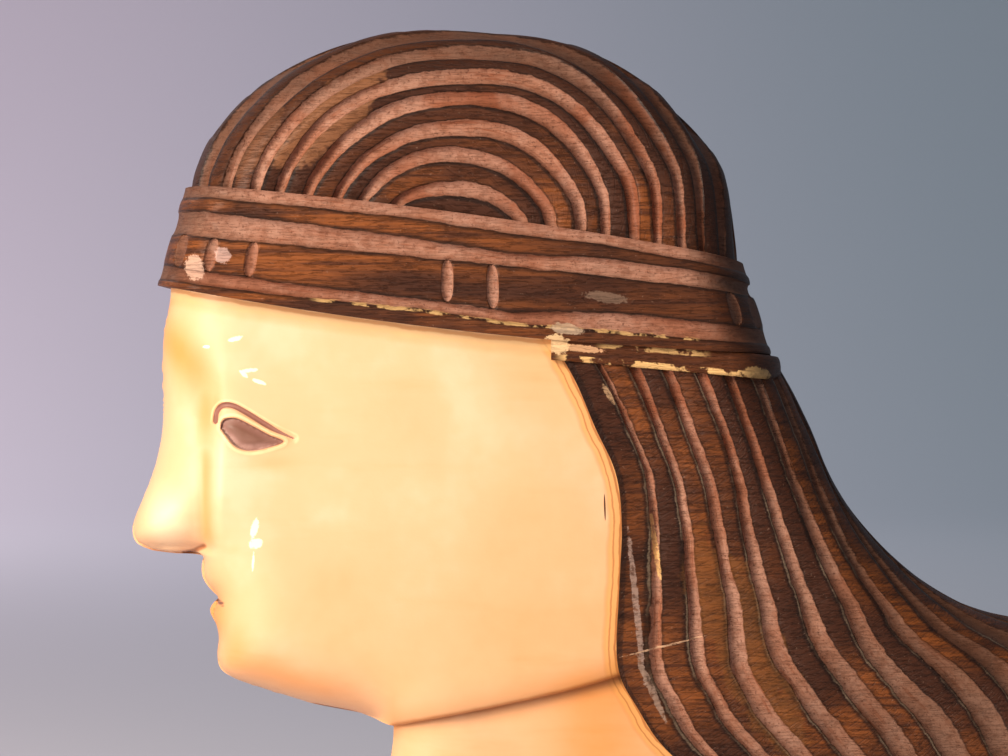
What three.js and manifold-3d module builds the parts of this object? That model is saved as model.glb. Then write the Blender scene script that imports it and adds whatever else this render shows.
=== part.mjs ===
// A mermaid's head carved in profile from one piece of wood, flat at the back so that it lies on a wall.
// Millimetres, +Z up. The face looks along -X, the carved front looks along -Y, the flat back is at Y = 0,
// and the origin is on the back, behind the middle of the head. In the functions below a point is the
// place seen from the front (across, up), and a height is measured from the wall to the front.

import * as THREE from 'three';
import * as BufferGeometryUtils from 'three/addons/utils/BufferGeometryUtils.js';
import Module from 'manifold-3d';

// From the flat-cut base to the top of the crown
const HEIGHT = 210;

// The wood from the flat back to each front surface
const BAND_THICKNESS = 51;
const HAIR_THICKNESS = 48.5;
const LOWER_BEAD_THICKNESS = 50;
const FACE_THICKNESS = 46;
const NECK_THICKNESS = 40;
const NOSE_THICKNESS = 37;

// The outer edge is a straight side with a quarter round above it
const EDGE_THICKNESS = 24;
const EDGE_ROUNDING = 19;
const EDGE_FOOT = 2;

// Gouge cuts and the beads left between them
const LOCK_GROOVE_DEPTH = 1.9;
const BAND_GROOVE_DEPTH = 1.6;
const BEAD_HEIGHT = 0.7;
const LOWER_BEAD_RADIUS = 2.6;
const TICK_LENGTH = 11;
const TICK_WIDTH = 3;
const TICK_DEPTH = 1;

// The face
const EYE_DEPTH = 1.2;
const EYEBALL_RISE = 0.9;
const LID_CREASE_WIDTH = 1.5;
const MOUTH_WIDTH = 1.4;
const NOSTRIL_WIDTH = 3;
const NOSE_CREASE_WIDTH = 9;
const JAW_ROUNDING = 9;
const JAW_EDGE_DROP = 3.2;

// The blocks start behind the wall plane and are sawn off on it. Slivers under the last size are merged.
const SAW_ALLOWANCE = 5;
const SMALLEST_FACET = 0.1;

// Stained and varnished wood
const WOOD_COLOUR = 0x5a3524;
const WOOD_ROUGHNESS = 0.5;

// Facets along each part of the carving
const CROWN_STEPS = 26;
const BAND_STEPS = 22;
const LOWER_BEAD_STEPS = 11;
const LOCK_STEPS = 22;
const FACE_STEPS = 20;
const NECK_STEPS = 6;
const CREASE_STEPS = 8;
const OUTLINE_STEPS = 60;

const wasm = await Module();
wasm.setup();

// Pose and proportions are shares of the height: an outline's points are given in hundredths of it
const share = (hundredths) => (hundredths * HEIGHT) / 100;
const at = (across, up) => new THREE.Vector2(share(across), share(up));
const spline = (...points) => new THREE.SplineCurve(points.map(([across, up]) => at(across, up)));

const BASE = share(-57.6);
const crownOutline = spline(
  [-38.7, 21.4], [-37.9, 25.6], [-34.7, 31.3], [-27.1, 37.8], [-16.1, 41.9], [-4.0, 42.5],
  [7.5, 41.2], [16.5, 36.9], [24.5, 29.2], [27.6, 23.1], [29.0, 12.2],
);
const hairOutline = spline(
  [30.2, 6.6], [34.2, 0.6], [37.1, -5.3], [40.9, -13.4], [45.9, -20.0], [52.5, -25.6],
  [60.1, -29.2], [70.9, -31.5], [77.1, -35.0], [80.8, -41.1], [82.3, -49.5], [82.8, -62.0],
);
const hairline = spline(
  [5.0, 5.6], [8.4, -0.2], [10.8, -5.8], [13.3, -11.4], [14.0, -17.5], [13.7, -25.0],
  [13.5, -34.0], [15.8, -39.1], [20.5, -45.3], [34.0, -55.7], [43.0, -62.0],
);
const jawLine = spline([-13.2, -42.0], [-9.3, -41.0], [-2.9, -39.7], [4.2, -38.2], [10.2, -36.7], [15.0, -35.2]);
const neckOutline = spline([-13.2, -38.0], [-13.4, -43.0], [-13.9, -46.6], [-14.9, -51.5], [-16.4, -62.0]);

const profile = new THREE.Path();
profile.moveTo(...at(-40.6, 13.5));
profile.lineTo(...at(-40.8, 9.7));
profile.splineThru([at(-41.8, 4.6), at(-42.0, -5.0), at(-42.7, -9.5), at(-43.7, -12.7), at(-45.5, -17.0)]);
profile.splineThru([at(-45.9, -18.8), at(-45.3, -20.4), at(-43.2, -21.2)]);
profile.lineTo(...at(-37.6, -21.4));
profile.splineThru([at(-36.8, -21.4), at(-37.4, -23.6), at(-36.4, -25.9)]);
profile.lineTo(...at(-35.1, -27.2));
profile.splineThru([at(-36.2, -28.5), at(-35.2, -30.4), at(-35.0, -33.6), at(-34.3, -35.9), at(-32.4, -37.2)]);
profile.splineThru([at(-28.6, -38.4), at(-23.4, -40.0), at(-17.7, -41.0), at(-13.2, -42.0)]);

// The head-band runs downhill from the brow to the nape. rise is how far its middle bows upwards, or
// sags where it is below zero.
const bandTop = { left: at(-39.0, 23.1), right: at(29.3, 13.9), rise: share(1.0) };
const bandFoot = { left: at(-42.3, 11.3), right: at(32.6, 2.9), rise: share(-1.5) };
const bandSideCorners = [at(30.4, 11.7), at(29.9, 10.6), at(32.9, 4.7), at(33.2, 4.0)];
const lowerBead = { left: at(5.6, 3.4), right: at(33.9, 0.9) };

// The band's grooves and beads, each as its middle and half width from the top edge, 0, to the foot, 1
const BAND_GROOVES = [[0.05, 0.06], [0.335, 0.075], [0.83, 0.06]];
const BAND_BEADS = [[0.19, 0.07], [0.58, 0.17], [0.945, 0.055]];
const BAND_SIDE_RELIEF = 0.6;
const CLOSEST_BAND_ROWS = 0.008;
const TICK_ROW = 0.58;
const TICK_PLACES = [0.037, 0.09, 0.155, 0.474, 0.548, 0.946, 0.985];

// Locks on the crown are half rings round a short line at the band, and the outer ones go over the edge
const ringCentre = at(-6.1, 18.4);
const RING_HALF_LINE = share(4.6);
const RING_COUNT = 13;
const RINGS_TO_EDGE = { left: 8.7, top: 7.4, right: 10.2 };

// Locks behind the face fan out from the hairline
const LOCK_COUNT = 14;
const LOCKS_TO_EDGE = { band: 8.2, base: 12.4 };
const GROOVE_SHARE = 0.3;

// Places on the face
const noseCrease = { x: share(-36.2), top: share(9), foot: share(-6) };
const lidCrease = spline([-34.2, -3.3], [-32.2, -3.1], [-30.1, -4.0], [-26.6, -6.2], [-24.7, -7.1]);
const mouthLine = spline([-35.6, -27.2], [-33.6, -27.3], [-32.0, -27.6]);
const nostril = at(-36.5, -20.9);
const eyeInner = at(-33.6, -5.8);
const eyeOuter = at(-26.3, -7.6);
const eyeTop = at(-31.0, -3.4);
const eyeFoot = at(-31.6, -10.6);

const outline = [
  crownOutline.getPoints(OUTLINE_STEPS),
  bandSideCorners,
  hairOutline.getPoints(OUTLINE_STEPS),
  neckOutline.getPoints(CREASE_STEPS),
  profile.getPoints(1),
  [bandFoot.left, bandTop.left],
];
const edges = outline.flatMap((stretch) => stretch.slice(1).map((point, i) => new THREE.Line3(
  new THREE.Vector3(stretch[i].x, stretch[i].y, 0),
  new THREE.Vector3(point.x, point.y, 0),
)));
const jawPoints = jawLine.getPoints(OUTLINE_STEPS);

// How far a point lies inside the outline
function distanceToEdge(point) {
  const probe = new THREE.Vector3(point.x, point.y, 0);
  const nearest = new THREE.Vector3();
  return Math.min(...edges.map((edge) => edge.closestPointToPoint(probe, true, nearest).distanceTo(probe)));
}

// A gouge cuts a hollow arch, and a bead is the same arch standing out: 1 in the middle, 0 past both edges
function arch(offset, halfWidth) {
  const across = Math.min(Math.abs(offset / halfWidth), 1);
  return Math.sqrt(1 - across * across);
}

// Height of a front of the given thickness, rounded off towards the outline
function roundedHeight(thickness, point) {
  const inward = Math.min(distanceToEdge(point) / EDGE_ROUNDING, 1);
  return EDGE_THICKNESS + (thickness - EDGE_THICKNESS) * arch(1 - inward, 1);
}

// Follows one lock from an inner point out to the outline, round the edge and down the straight side.
// Lines are counted outwards, linesToEdge of them reach the edge and lineCount the back.
function overEdge(inner, outer, line, linesToEdge, lineCount) {
  const reach = outer.clone().sub(inner);
  const width = reach.length();
  const rounding = Math.min(EDGE_ROUNDING, width);
  const flat = width - rounding;
  const travel = Math.min(line / linesToEdge, 1) * (flat + (rounding * Math.PI) / 2);
  const tilt = Math.max(travel - flat, 0) / rounding;
  const distance = Math.min(travel, flat) + rounding * Math.sin(tilt);
  const down = Math.max((line - linesToEdge) / (lineCount - linesToEdge), 0);
  const point = inner.clone().addScaledVector(reach, distance / width);
  const back = inner.clone().addScaledVector(reach, line / lineCount);
  return { point, back, outward: reach.divideScalar(width), tilt, down };
}

// Moves a place on a lock in or out along the surface normal
function carve({ point, back, outward, tilt, down }, relief) {
  const side = down * (EDGE_THICKNESS - EDGE_FOOT);
  const height = roundedHeight(HAIR_THICKNESS, point) - side + relief * Math.cos(tilt);
  return { point: point.clone().addScaledVector(outward, relief * Math.sin(tilt)), back, height };
}

// The lines that draw locks: the middle of each groove and its two edges
function lockLines(count) {
  const lines = [0];
  for (let lock = 1; lock < count; lock += 1) {
    lines.push(lock - GROOVE_SHARE, lock, lock + GROOVE_SHARE);
  }
  lines.push(count);
  return lines;
}

function lockRelief(line) {
  return line < GROOVE_SHARE ? 0 : -LOCK_GROOVE_DEPTH * arch(line - Math.round(line), GROOVE_SHARE);
}

function toManifold(geometry) {
  const bare = geometry.clone();
  bare.deleteAttribute('normal');
  bare.deleteAttribute('uv');
  const merged = BufferGeometryUtils.mergeVertices(bare);
  const vertProperties = new Float32Array(merged.attributes.position.array);
  const triVerts = new Uint32Array(merged.index.array);
  return new wasm.Manifold(new wasm.Mesh({ numProp: 3, vertProperties, triVerts }));
}

// A block of wood with a carved front. place gives the point and height of each column and row of the
// front, and the point behind it where that isn't the same.
function carvedBlock(columns, rows, place) {
  const block = new THREE.BoxGeometry(1, 1, 1, columns, rows, 1);
  const position = block.attributes.position;
  for (let i = 0; i < position.count; i += 1) {
    const column = Math.round((position.getX(i) + 0.5) * columns);
    const row = Math.round((position.getY(i) + 0.5) * rows);
    const { point, height, back = point } = place(column, row);
    if (position.getZ(i) > 0) {
      position.setXYZ(i, point.x, -height, point.y);
    } else {
      position.setXYZ(i, back.x, SAW_ALLOWANCE, back.y);
    }
  }
  return toManifold(block);
}

function buildCrown() {
  const lines = lockLines(RING_COUNT);
  const slope = bandTop.right.clone().sub(bandTop.left).normalize();
  return carvedBlock(CROWN_STEPS, lines.length - 1, (column, row) => {
    const turn = column / CROWN_STEPS;
    const inner = ringCentre.clone().addScaledVector(slope, -RING_HALF_LINE * Math.cos(Math.PI * turn));
    const side = turn < 0.5 ? RINGS_TO_EDGE.left : RINGS_TO_EDGE.right;
    const ringsToEdge = THREE.MathUtils.lerp(side, RINGS_TO_EDGE.top, Math.sin(Math.PI * turn) ** 2);
    const place = overEdge(inner, crownOutline.getPointAt(turn), lines[row], ringsToEdge, RING_COUNT);
    return carve(place, lockRelief(lines[row]));
  });
}

function buildLocks() {
  const lines = lockLines(LOCK_COUNT);
  return carvedBlock(lines.length - 1, LOCK_STEPS, (column, row) => {
    const along = 1 - row / LOCK_STEPS;
    const inner = hairline.getPointAt(along);
    const locksToEdge = THREE.MathUtils.lerp(LOCKS_TO_EDGE.band, LOCKS_TO_EDGE.base, along);
    const place = overEdge(inner, hairOutline.getPointAt(along), lines[column], locksToEdge, LOCK_COUNT);
    return carve(place, lockRelief(lines[column]));
  });
}

function bandRelief(across) {
  const cut = Math.max(...BAND_GROOVES.map(([middle, half]) => arch(across - middle, half)));
  const bead = Math.max(...BAND_BEADS.map(([middle, half]) => arch(across - middle, half)));
  return bead * BEAD_HEIGHT - cut * BAND_GROOVE_DEPTH;
}

// The rows of the band: the middle and both edges of every groove and bead
function bandRows() {
  const marks = [...BAND_GROOVES, ...BAND_BEADS].flatMap(([middle, half]) => [middle - half, middle, middle + half]);
  const inside = [0, 1, ...marks].filter((mark) => mark >= 0 && mark <= 1).sort((a, b) => a - b);
  return inside.filter((mark, i) => i === 0 || mark - inside[i - 1] > CLOSEST_BAND_ROWS);
}

// A place on the band, across it from top to foot and along it from the brow to the nape
function bandPoint(across, along, relief) {
  const left = bandTop.left.clone().lerp(bandFoot.left, across);
  const right = bandTop.right.clone().lerp(bandFoot.right, across);
  left.x -= relief * BAND_SIDE_RELIEF;
  right.x += relief * BAND_SIDE_RELIEF;
  const rise = THREE.MathUtils.lerp(bandTop.rise, bandFoot.rise, across);
  const point = left.lerp(right, along);
  point.y += rise * 4 * along * (1 - along);
  return point;
}

// Columns stand closer together towards both ends, where the front turns over the edge
const spread = (fraction) => (1 - Math.cos(Math.PI * fraction)) / 2;

function buildBand() {
  const rows = bandRows();
  return carvedBlock(BAND_STEPS, rows.length - 1, (column, row) => {
    const across = rows[rows.length - 1 - row];
    const relief = bandRelief(across);
    const point = bandPoint(across, spread(column / BAND_STEPS), relief);
    return { point, height: roundedHeight(BAND_THICKNESS, point) + relief };
  });
}

// The narrow bead that closes the band over the locks at the nape
function buildLowerBead() {
  const rows = 4;
  return carvedBlock(LOWER_BEAD_STEPS, rows, (column, row) => {
    const across = (row / rows) * 2 - 1;
    const fall = (1 - arch(across, 1)) * BEAD_HEIGHT;
    const right = lowerBead.right.clone().setX(lowerBead.right.x - fall);
    const point = lowerBead.left.clone().lerp(right, spread(column / LOWER_BEAD_STEPS));
    point.y += across * LOWER_BEAD_RADIUS;
    return { point, height: roundedHeight(LOWER_BEAD_THICKNESS, point) - fall };
  });
}

// The nose stands lower than the cheek, past a crease from the eye to the nostril, and the cheek rounds
// off along the jaw
function faceHeight(point) {
  const cheek = roundedHeight(FACE_THICKNESS, point);
  const nose = roundedHeight(NOSE_THICKNESS, point);
  const half = NOSE_CREASE_WIDTH / 2;
  const left = 1 - THREE.MathUtils.smoothstep(point.x, noseCrease.x - half, noseCrease.x + half);
  const below = 1 - THREE.MathUtils.smoothstep(point.y, noseCrease.foot, noseCrease.top);
  const toJaw = Math.min(...jawPoints.map((other) => other.distanceTo(point)));
  const jawDrop = JAW_EDGE_DROP * (1 - arch(1 - Math.min(toJaw / JAW_ROUNDING, 1), 1));
  return THREE.MathUtils.lerp(cheek, nose, left * below) - jawDrop;
}

// Rows run from the profile to a line under the hair, and the lowest one follows the jaw
function buildFace() {
  const edge = profile.getPoints(1).reverse();
  const rows = edge.length - 1;
  const farLow = jawLine.getPoint(1);
  const farHigh = new THREE.Vector2(farLow.x, bandPoint(TICK_ROW, 0.75, 0).y);
  return carvedBlock(FACE_STEPS, rows, (column, row) => {
    const up = row / rows;
    const along = (column / FACE_STEPS) ** 1.5;
    const bow = jawLine.getPoint(along).sub(edge[0].clone().lerp(farLow, along));
    const point = edge[row].clone().lerp(farLow.clone().lerp(farHigh, up), along);
    point.addScaledVector(bow, (1 - up) ** 4);
    return { point, height: faceHeight(point) };
  });
}

function buildNeck() {
  const right = spline([18, -34], [60, -62]);
  return carvedBlock(NECK_STEPS * 2, NECK_STEPS, (column, row) => {
    const down = 1 - row / NECK_STEPS;
    const along = (column / (NECK_STEPS * 2)) ** 1.5;
    const point = neckOutline.getPoint(down).lerp(right.getPoint(down), along);
    return { point, height: roundedHeight(NECK_THICKNESS, point) };
  });
}

// A ball of the given width, depth and length, sunk to its middle in the surface
function ballAt(point, height, width, depth, length) {
  const ball = new THREE.SphereGeometry(1, 10, 6);
  ball.scale(width / 2, depth, length / 2);
  return toManifold(ball.translate(point.x, -height, point.y));
}

// A round-nosed cut that follows a curve on the face
function creaseAlong(curve, width) {
  const route = curve.getPoints(CREASE_STEPS).map((point) => new THREE.Vector3(point.x, -faceHeight(point), point.y));
  const tool = new THREE.Shape();
  tool.absarc(0, 0, width / 2, 0, Math.PI * 2);
  const extrudePath = new THREE.CatmullRomCurve3(route);
  const cut = new THREE.ExtrudeGeometry(tool, { steps: CREASE_STEPS, curveSegments: 3, extrudePath });
  return toManifold(cut);
}

function bandTicks() {
  return TICK_PLACES.map((along) => {
    const point = bandPoint(TICK_ROW, along, 0);
    const height = roundedHeight(BAND_THICKNESS, point) + BEAD_HEIGHT;
    return ballAt(point, height, TICK_WIDTH, TICK_DEPTH, TICK_LENGTH);
  });
}

// The almond cut of the eye, with the eyeball left standing in it
function eyeCut() {
  const almond = new THREE.Shape();
  almond.moveTo(eyeInner.x, eyeInner.y);
  almond.quadraticCurveTo(eyeTop.x, eyeTop.y, eyeOuter.x, eyeOuter.y);
  almond.quadraticCurveTo(eyeFoot.x, eyeFoot.y, eyeInner.x, eyeInner.y);
  const cut = new THREE.ExtrudeGeometry(almond, { depth: BAND_THICKNESS, curveSegments: 6, bevelEnabled: false });
  cut.translate(0, 0, FACE_THICKNESS - EYE_DEPTH);
  cut.rotateX(Math.PI / 2);
  const middle = eyeInner.clone().lerp(eyeOuter, 0.5);
  const width = eyeInner.distanceTo(eyeOuter);
  const ball = ballAt(middle, FACE_THICKNESS - EYE_DEPTH, width * 0.7, EYEBALL_RISE, width * 0.4);
  return toManifold(cut).subtract(ball);
}

function slab(width, depth, height, y, z) {
  return toManifold(new THREE.BoxGeometry(width, depth, height).translate(0, y, z));
}

function toGeometry(solid) {
  const { vertProperties, triVerts } = solid.getMesh();
  const geometry = new THREE.BufferGeometry();
  geometry.setAttribute('position', new THREE.BufferAttribute(new Float32Array(vertProperties), 3));
  geometry.setIndex(new THREE.BufferAttribute(new Uint32Array(triVerts), 1));
  geometry.computeVertexNormals();
  return geometry;
}

const blocks = [buildCrown(), buildLocks(), buildBand(), buildLowerBead(), buildFace(), buildNeck()];
const cuts = [
  ...bandTicks(),
  eyeCut(),
  creaseAlong(lidCrease, LID_CREASE_WIDTH),
  creaseAlong(mouthLine, MOUTH_WIDTH),
  ballAt(nostril, faceHeight(nostril), NOSTRIL_WIDTH, NOSTRIL_WIDTH / 2, NOSTRIL_WIDTH),
  slab(HEIGHT * 4, SAW_ALLOWANCE * 4, HEIGHT * 4, SAW_ALLOWANCE * 2, 0),
  slab(HEIGHT * 4, HEIGHT, HEIGHT, 0, BASE - HEIGHT / 2),
];
const whole = blocks.reduce((sum, block) => sum.add(block));
const carved = cuts.reduce((sum, cut) => sum.subtract(cut), whole).simplify(SMALLEST_FACET);

const wood = new THREE.MeshStandardMaterial({ color: WOOD_COLOUR, roughness: WOOD_ROUGHNESS, metalness: 0 });
const head = new THREE.Mesh(toGeometry(carved), wood);
head.name = 'carved_head';

const sculpture = new THREE.Group();
sculpture.add(head);

export default sculpture;
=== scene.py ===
"""Looks of a mermaid's head carved in profile from one flat-backed piece of wood.

The hair is stained and varnished, with pale gouge cuts between its locks and painted shade and highlights
beside the cuts, and the face is painted cream under an orange antique glaze, with painted shade in the glaze
in the hollows, along the edges and towards the lower right. Lengths in this file are millimetres unless a
name says metres. A point is a place seen from the front, across and up, and a height is measured from the
wall to the front.
"""
import logging
import math
from dataclasses import dataclass, field
from enum import Enum
from functools import reduce

import bmesh
import bpy
import numpy as np
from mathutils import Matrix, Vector


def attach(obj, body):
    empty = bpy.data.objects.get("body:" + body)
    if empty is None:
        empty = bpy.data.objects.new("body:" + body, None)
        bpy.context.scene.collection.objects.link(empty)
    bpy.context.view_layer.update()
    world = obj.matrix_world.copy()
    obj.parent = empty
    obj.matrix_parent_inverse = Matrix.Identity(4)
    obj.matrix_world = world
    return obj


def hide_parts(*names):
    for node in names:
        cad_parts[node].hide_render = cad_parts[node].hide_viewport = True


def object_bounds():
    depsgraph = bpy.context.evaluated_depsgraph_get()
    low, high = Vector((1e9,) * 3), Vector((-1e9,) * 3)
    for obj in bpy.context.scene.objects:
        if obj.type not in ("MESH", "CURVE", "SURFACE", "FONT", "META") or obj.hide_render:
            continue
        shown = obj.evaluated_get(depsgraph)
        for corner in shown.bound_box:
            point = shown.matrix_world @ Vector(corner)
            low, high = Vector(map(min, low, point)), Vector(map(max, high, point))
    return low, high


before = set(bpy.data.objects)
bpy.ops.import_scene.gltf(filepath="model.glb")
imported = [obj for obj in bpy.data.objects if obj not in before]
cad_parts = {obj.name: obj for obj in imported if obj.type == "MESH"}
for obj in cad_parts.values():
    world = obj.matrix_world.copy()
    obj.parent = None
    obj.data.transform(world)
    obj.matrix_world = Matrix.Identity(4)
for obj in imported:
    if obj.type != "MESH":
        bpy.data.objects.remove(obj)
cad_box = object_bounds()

LOG = logging.getLogger("mermaid")
NODE = "carved_head"
MM = 0.001
SHARE = 210.0 / 100  # a hundredth of the carving's height
Array = np.ndarray


def spots(*pairs: tuple[float, float]) -> Array:
    """Turn places in hundredths of the height into millimetres, one row for each."""
    return np.array(pairs) * SHARE


# Top and foot of the band, at the brow and at the nape
BAND_LEFT = spots((-39.0, 23.1), (-42.3, 11.3))
BAND_RIGHT = spots((29.3, 13.9), (32.6, 2.9))


def arch(offset: Array, half_width: float | Array) -> Array:
    """Give the height of a round arch at offsets from its middle, 1 there and 0 past both edges."""
    return np.sqrt(np.clip(1 - (offset / half_width) ** 2, 0, 1))


def ease(value: Array, low: float, high: float) -> Array:
    """Step smoothly from 0 at low to 1 at high."""
    t = np.clip((value - low) / (high - low), 0, 1)
    return t * t * (3 - 2 * t)


def hump(value: Array, middle: float | Array, width: float) -> Array:
    """Give a soft hill, 1 at its middle and a third at its width."""
    return np.exp(-((value - middle) / width) ** 2)


def ripple(value: Array, seed: float) -> Array:
    """Give a smooth irregular wave between about -1 and 1.

    Args:
        value: where on the wave, one unit for each slow swing.
        seed: picks another wave.

    Returns:
        The wave's height.
    """
    total = np.zeros_like(np.asarray(value, dtype=float))
    for k in range(4):
        pace = 1.0 + 0.83 * k
        total = total + np.sin(2 * math.pi * (value * pace + seed * (1.37 + k * 0.61))) / (1 + 0.7 * k)
    return total / 2.2


class Curve:
    """A smooth outline through a few places, read by its share of length."""

    def __init__(self, places: Array, samples: int = 400) -> None:
        """Sample a uniform Catmull-Rom spline through the places.

        Args:
            places: the places the outline runs through.
            samples: how many straight pieces stand for it.
        """
        last = len(places) - 1
        t = np.linspace(0, last, samples + 1)
        k = np.minimum(t.astype(int), last - 1)
        w = (t - k)[:, None]
        p0, p1 = places[np.maximum(k - 1, 0)], places[k]
        p2, p3 = places[k + 1], places[np.minimum(k + 2, last)]
        v0, v1 = (p2 - p0) / 2, (p3 - p1) / 2
        cubic, square = 2 * p1 - 2 * p2 + v0 + v1, -3 * p1 + 3 * p2 - 2 * v0 - v1
        self.points = ((cubic * w + square) * w + v0) * w + p1
        steps = np.linalg.norm(np.diff(self.points, axis=0), axis=1)
        self.lengths = np.concatenate([[0.0], np.cumsum(steps)])
        self.length = float(self.lengths[-1])

    def at(self, fraction: Array) -> Array:
        """Read places at shares of the outline's length."""
        where = np.asarray(fraction) * self.length
        return np.stack([np.interp(where, self.lengths, self.points[:, i]) for i in (0, 1)], axis=-1)


def distance_to(points: Array, line: Array) -> Array:
    """Measure how far places lie from a line of straight pieces.

    Args:
        points: places, in any grid.
        line: corners of the line.

    Returns:
        The shortest distance for each place.
    """
    flat = points.reshape(-1, 2)
    start, along = line[:-1], np.diff(line, axis=0)
    square = np.maximum((along**2).sum(axis=1), 1e-9)
    out = np.empty(len(flat))
    for low in range(0, len(flat), 4000):
        part = flat[low:low + 4000, None, :]
        t = np.clip(((part - start) * along).sum(axis=2) / square, 0, 1)
        gap = part - (start + t[:, :, None] * along)
        out[low:low + 4000] = np.sqrt((gap**2).sum(axis=2).min(axis=1))
    return out.reshape(points.shape[:-1])


@dataclass
class Relief:
    """The carving's sizes and outlines, as the solid has them."""

    band_thickness: float = 51.0
    hair_thickness: float = 48.5
    lower_bead_thickness: float = 50.0
    face_thickness: float = 46.0
    neck_thickness: float = 40.0
    edge_thickness: float = 24.0
    edge_rounding: float = 19.0
    edge_foot: float = 2.0
    painted_rounding: float = 21.0
    painted_fullness: float = 2.7
    base: float = -57.6 * SHARE
    crown: Curve = field(init=False)
    hair: Curve = field(init=False)
    hairline: Curve = field(init=False)
    jaw: Curve = field(init=False)
    neck: Curve = field(init=False)
    profile: Array = field(init=False)
    edge: list[Array] = field(init=False)

    def __post_init__(self) -> None:
        """Lay out the outlines."""
        self.crown = Curve(spots(
            (-38.7, 21.4), (-37.9, 25.6), (-34.7, 31.3), (-27.1, 37.8), (-16.1, 41.9), (-4.0, 42.5),
            (7.5, 41.2), (16.5, 36.9), (24.5, 29.2), (27.6, 23.1), (29.0, 12.2)))
        self.hair = Curve(spots(
            (30.2, 6.6), (34.2, 0.6), (37.1, -5.3), (40.9, -13.4), (45.9, -20.0), (52.5, -25.6),
            (60.1, -29.2), (70.9, -31.5), (77.1, -35.0), (80.8, -41.1), (82.3, -49.5), (82.6, -62.0)))
        self.hairline = Curve(spots(
            (5.0, 5.6), (8.4, -0.2), (10.8, -5.8), (13.3, -11.4), (14.0, -17.5), (13.7, -25.0),
            (13.5, -34.0), (15.8, -39.1), (20.5, -45.3), (34.0, -55.7), (43.0, -62.0)))
        self.jaw = Curve(spots(
            (-13.2, -42.0), (-9.3, -41.0), (-2.9, -39.7), (4.2, -38.2), (10.2, -36.7), (15.0, -35.2)))
        self.neck = Curve(spots(
            (-13.2, -38.0), (-13.4, -43.0), (-13.9, -46.6), (-14.9, -51.5), (-16.4, -62.0)))
        brow = Curve(spots((-40.6, 13.5), (-40.8, 9.7), (-41.8, 4.6), (-42.0, -5.0), (-42.7, -9.5),
                           (-43.7, -12.7), (-45.5, -17.0)), 90)
        nose_tip = Curve(spots((-45.5, -17.0), (-45.9, -18.8), (-45.3, -20.4), (-43.2, -21.2)), 24)
        under_nose = Curve(spots((-43.2, -21.2), (-40.4, -21.5), (-38.0, -21.6), (-36.8, -21.8)), 16)
        upper_lip = Curve(spots((-36.8, -21.8), (-37.1, -22.8), (-37.0, -24.4), (-36.2, -25.7),
                                (-35.0, -26.9)), 34)
        chin = Curve(spots((-35.0, -26.9), (-36.1, -28.4), (-35.3, -30.3), (-35.0, -31.8), (-35.2, -34.0),
                           (-34.7, -35.8), (-32.8, -37.0)), 60)
        under_chin = Curve(spots((-32.8, -37.0), (-28.6, -38.3), (-23.4, -39.8), (-17.7, -40.9),
                                 (-13.2, -42.0)), 44)
        stretches = (brow, nose_tip, under_nose, upper_lip, chin, under_chin)
        self.profile = np.concatenate([s.points[:-1] for s in stretches] + [under_chin.points[-1:]])
        side = spots((29.3, 13.9), (30.4, 11.7), (29.9, 10.6), (32.9, 4.7), (33.2, 4.0))
        band_left = spots((-42.4, 12.0), (-41.0, 17.0), (-39.0, 23.1))
        self.edge = [self.crown.points, side, self.hair.points, self.neck.points, self.profile, band_left]

    def inward(self, points: Array) -> Array:
        """Measure how far places lie inside the outline."""
        return np.min([distance_to(points, run) for run in self.edge], axis=0)

    def soft_inward(self, points: Array, blend: float = 2.2) -> Array:
        """Measure how far places lie inside the painted part's outline, with its corners blended.

        Args:
            points: places on the face or neck.
            blend: how far in two stretches of outline are blended.

        Returns:
            A distance without creases, a little short of the true one.
        """
        total = np.zeros(points.shape[:-1])
        corner = self.profile[-1] - [3.0, 2.5]
        chin = self.profile[self.profile[:, 0] < corner[0]]
        neck = self.neck.points[self.neck.points[:, 1] < corner[1]][::6]
        for run in (chin, neck, self.hair.points[::8]):
            middles = (run[1:] + run[:-1]) / 2
            lengths = np.linalg.norm(np.diff(run, axis=0), axis=1)
            for middle, length in zip(middles, lengths):
                gap = np.linalg.norm(points - middle, axis=-1)
                total += np.exp(-gap / blend) * length / (2 * blend)
        return np.maximum(-blend * np.log(np.maximum(total, 1e-30)), 0)

    def height(self, thickness: float, points: Array) -> Array:
        """Round a front of some thickness off towards the outline."""
        return self.round_off(thickness, self.inward(points), self.edge_rounding)

    def round_off(self, thickness: float, inward: Array, reach: float, fullness: float = 2.0) -> Array:
        """Round a front off over a reach from the outline.

        Args:
            thickness: the front's height away from the edge.
            inward: distance inside the outline.
            reach: how far in the rounding reaches.
            fullness: 2 for a round edge, and more for a fuller one.

        Returns:
            The height at each place.
        """
        near = np.clip(inward / reach, 0, 1)
        full = np.clip(1 - (1 - near) ** fullness, 0, 1) ** (1 / fullness)
        return self.edge_thickness + (thickness - self.edge_thickness) * full


def make_object(bm: bmesh.types.BMesh, name: str, material: bpy.types.Material) -> bpy.types.Object:
    """Put a finished mesh into the scene, in one material."""
    mesh = bpy.data.meshes.new(name)
    bm.to_mesh(mesh)
    bm.free()
    mesh.materials.append(material)
    made = bpy.data.objects.new(name, mesh)
    bpy.context.collection.objects.link(made)
    return made


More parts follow.
